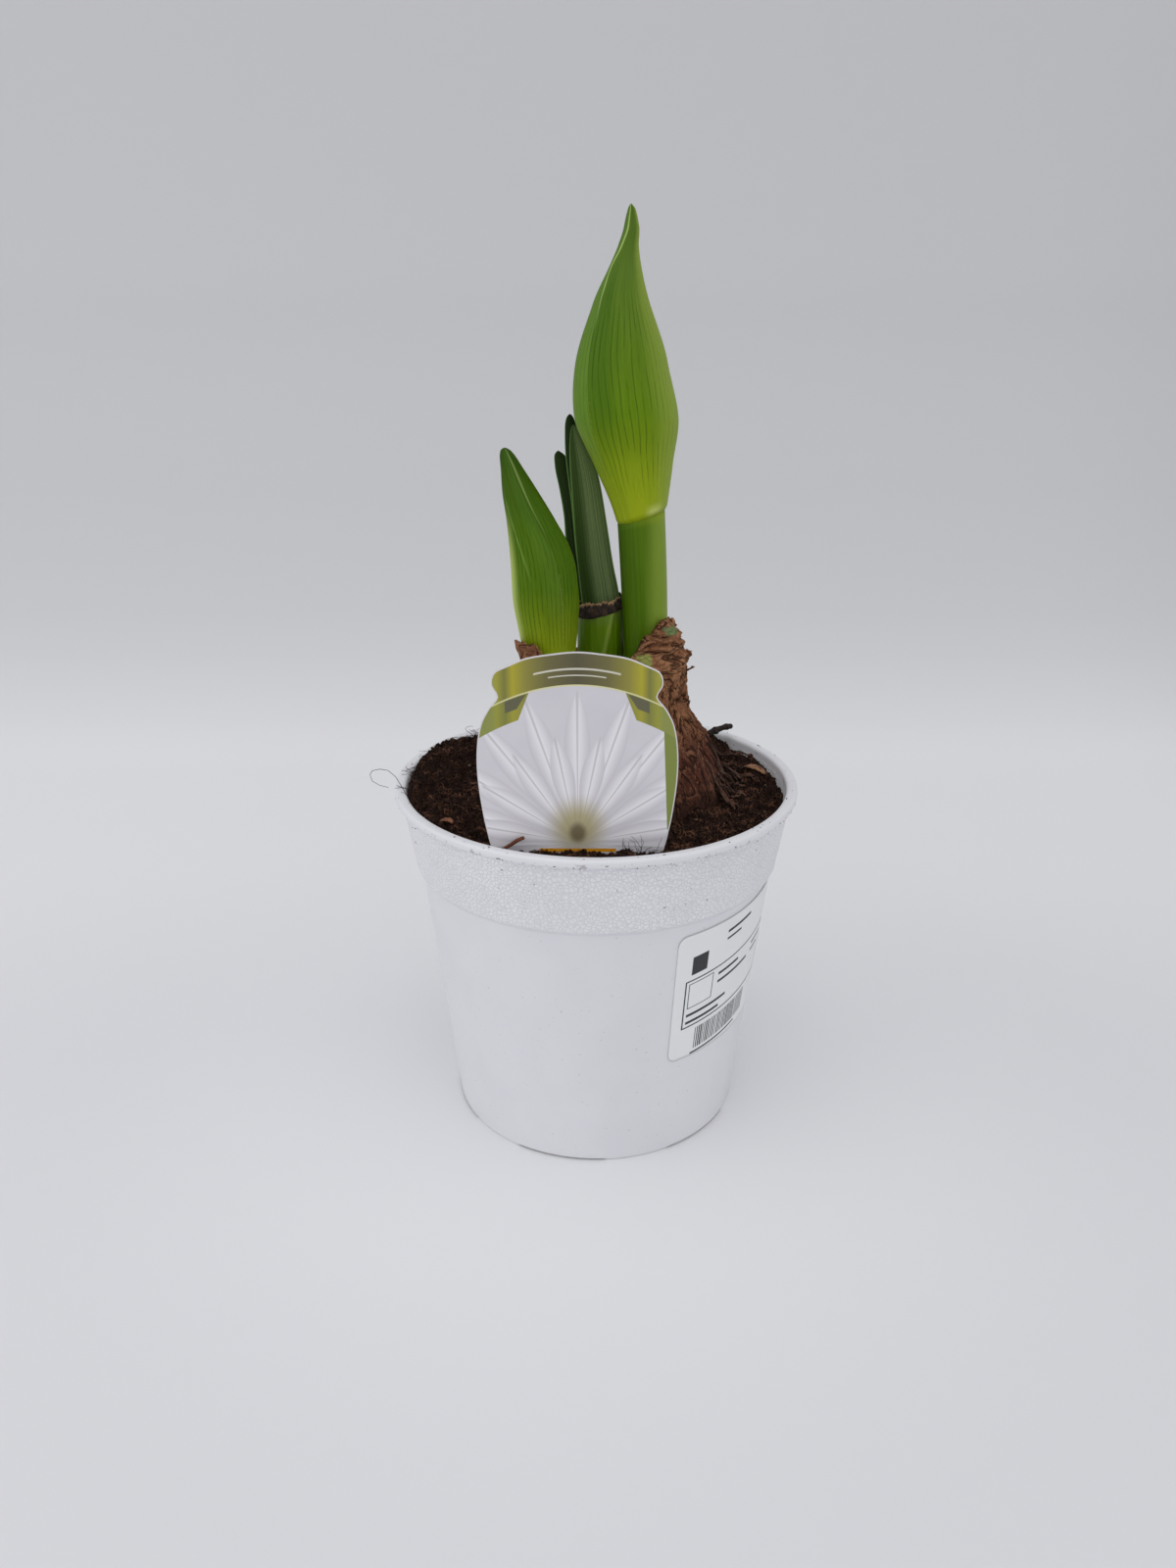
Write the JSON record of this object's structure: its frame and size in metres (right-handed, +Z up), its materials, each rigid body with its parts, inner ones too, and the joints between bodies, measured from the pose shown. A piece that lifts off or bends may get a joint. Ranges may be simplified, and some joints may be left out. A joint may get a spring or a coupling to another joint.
{
  "type": "potted amaryllis bulb",
  "caption": "Amaryllis bulb in a white tapered nursery pot, with a tall and a short closed bud, young strap leaves, a die-cut plant label and a sticker on the pot.",
  "frame": {"origin": "on the pot's axis at the surface that it stands on", "axes": "+Z up the pot's axis, -Y towards the side with the plant label, +X to the right as seen from there"},
  "size_m": [0.13, 0.13, 0.2839],
  "materials": {
    "pot_plastic": "satin",
    "sticker_paper": "satin",
    "label_card": "satin",
    "soil": "matte",
    "tunic": "matte",
    "root_flesh": "matte",
    "stalk_green": "satin",
    "bud_green": "satin",
    "leaf_green": "satin",
    "sheath_green": "satin",
    "dry_brown": "matte",
    "bark": "matte",
    "bark_light": "matte"
  },
  "bodies": {
    "root": {"pot": "pot_plastic", "pot_sticker": "sticker_paper", "plant_label": "label_card", "potting_soil": "soil", "bulb": "tunic", "roots": "root_flesh", "tall_stalk": "stalk_green", "tall_bud": "bud_green", "short_stalk": "stalk_green", "short_bud": "bud_green", "leaf_front": "leaf_green", "leaf_middle": "leaf_green", "leaf_left": "leaf_green", "leaf_sheath": "sheath_green", "sheath_torn_edge": "dry_brown", "twig": "bark", "bark_flake": "bark_light", "bark_chip": "bark_light"}
  },
  "joints": []
}
